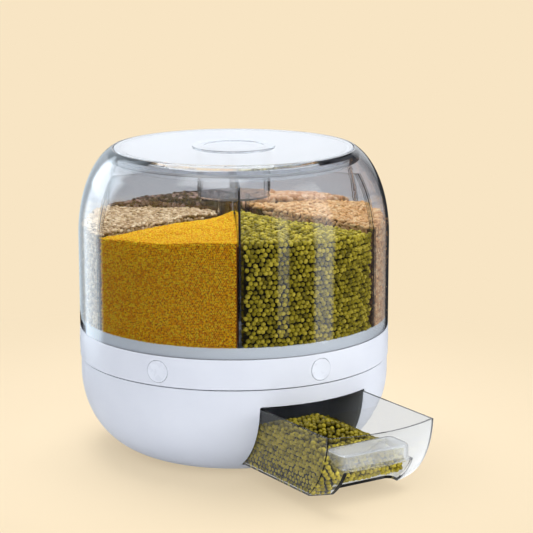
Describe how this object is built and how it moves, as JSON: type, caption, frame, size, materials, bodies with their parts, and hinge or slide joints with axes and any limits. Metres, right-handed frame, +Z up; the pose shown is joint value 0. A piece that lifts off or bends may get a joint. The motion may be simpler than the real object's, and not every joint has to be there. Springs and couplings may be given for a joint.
{
  "type": "rotating grain dispenser",
  "caption": "Round counter-top dry-food dispenser: a clear domed barrel of wedge compartments turns on a white bowl base; push buttons let grain fall into a clear pull-out drawer.",
  "frame": {"origin": "on the spin axis, on the surface that the foot ring stands on", "axes": "+Z up along the spin axis, the drawer pulls out along -Y, +X to the right of someone facing the drawer"},
  "size_m": [0.2904, 0.3925, 0.2863],
  "materials": {
    "white_body": "satin moulded",
    "white_button": "satin moulded",
    "clear_plastic": "clear polished",
    "clear_lid": "clear, slightly milky",
    "steel": "plain",
    "soft_rubber": "matt silicone",
    "bearing_plastic": "natural"
  },
  "bodies": {
    "base": {"base_shell": "white_body", "base_deck": "white_body", "drawer_guide": "white_body", "spindle": "steel", "retaining_washer": "steel", "retaining_screw": "steel", "glide_pads": "bearing_plastic", "foot_ring": "soft_rubber", "deck_screws": "steel", "guide_screws": "steel"},
    "rotor": {"turntable_ring": "white_body", "tray_floor": "white_body", "hub_bush": "bearing_plastic", "hopper_floor": "white_body", "hopper_collar": "white_body", "tray_screws": "steel", "divider_insert": "clear_plastic", "barrel": "clear_plastic", "outlet_spout_1": "white_body", "outlet_spout_2": "white_body", "outlet_spout_3": "white_body", "outlet_spout_4": "white_body", "outlet_spout_5": "white_body", "outlet_spout_6": "white_body", "return_spring_1": "steel", "return_spring_2": "steel", "return_spring_3": "steel", "return_spring_4": "steel", "return_spring_5": "steel", "return_spring_6": "steel"},
    "lid": {"lid_panel": "clear_lid", "lid_seal": "soft_rubber", "desiccant_cup": "clear_lid"},
    "cap": {"desiccant_cap": "clear_lid"},
    "drawer": {"drawer_tub": "clear_plastic"},
    "valve_1": {"button_1": "white_button", "gate_1": "white_button"},
    "valve_2": {"button_2": "white_button", "gate_2": "white_button"},
    "valve_3": {"button_3": "white_button", "gate_3": "white_button"},
    "valve_4": {"button_4": "white_button", "gate_4": "white_button"},
    "valve_5": {"button_5": "white_button", "gate_5": "white_button"},
    "valve_6": {"button_6": "white_button", "gate_6": "white_button"}
  },
  "joints": [
    {"name": "rotor_spin", "type": "hinge", "parent": "base", "child": "rotor", "pos_m": [0, 0, 0.0912], "axis": [0, 0, 1], "continuous": true},
    {"name": "drawer_slide", "type": "slide", "parent": "base", "child": "drawer", "axis": [0, -1, 0], "range_m": [-0.103, 0.082]},
    {"name": "lid_lift", "type": "slide", "parent": "rotor", "child": "lid", "axis": [0, 0, 1], "range_m": [0, 0.075]},
    {"name": "cap_lift", "type": "slide", "parent": "lid", "child": "cap", "axis": [0, 0, 1], "range_m": [0, 0.03]},
    {"name": "button_press_1", "type": "slide", "parent": "rotor", "child": "valve_1", "axis": [0, 1, 0], "range_m": [0, 0.012], "stiffness_N_per_m": 300, "springref_m": -0.004, "deforming": ["return_spring_1"]},
    {"name": "button_press_2", "type": "slide", "parent": "rotor", "child": "valve_2", "axis": [-0.866, 0.5, 0], "range_m": [0, 0.012], "stiffness_N_per_m": 300, "springref_m": -0.004, "deforming": ["return_spring_2"]},
    {"name": "button_press_3", "type": "slide", "parent": "rotor", "child": "valve_3", "axis": [-0.866, -0.5, 0], "range_m": [0, 0.012], "stiffness_N_per_m": 300, "springref_m": -0.004, "deforming": ["return_spring_3"]},
    {"name": "button_press_4", "type": "slide", "parent": "rotor", "child": "valve_4", "axis": [0, -1, 0], "range_m": [0, 0.012], "stiffness_N_per_m": 300, "springref_m": -0.004, "deforming": ["return_spring_4"]},
    {"name": "button_press_5", "type": "slide", "parent": "rotor", "child": "valve_5", "axis": [0.866, -0.5, 0], "range_m": [0, 0.012], "stiffness_N_per_m": 300, "springref_m": -0.004, "deforming": ["return_spring_5"]},
    {"name": "button_press_6", "type": "slide", "parent": "rotor", "child": "valve_6", "axis": [0.866, 0.5, 0], "range_m": [0, 0.012], "stiffness_N_per_m": 300, "springref_m": -0.004, "deforming": ["return_spring_6"]}
  ]
}
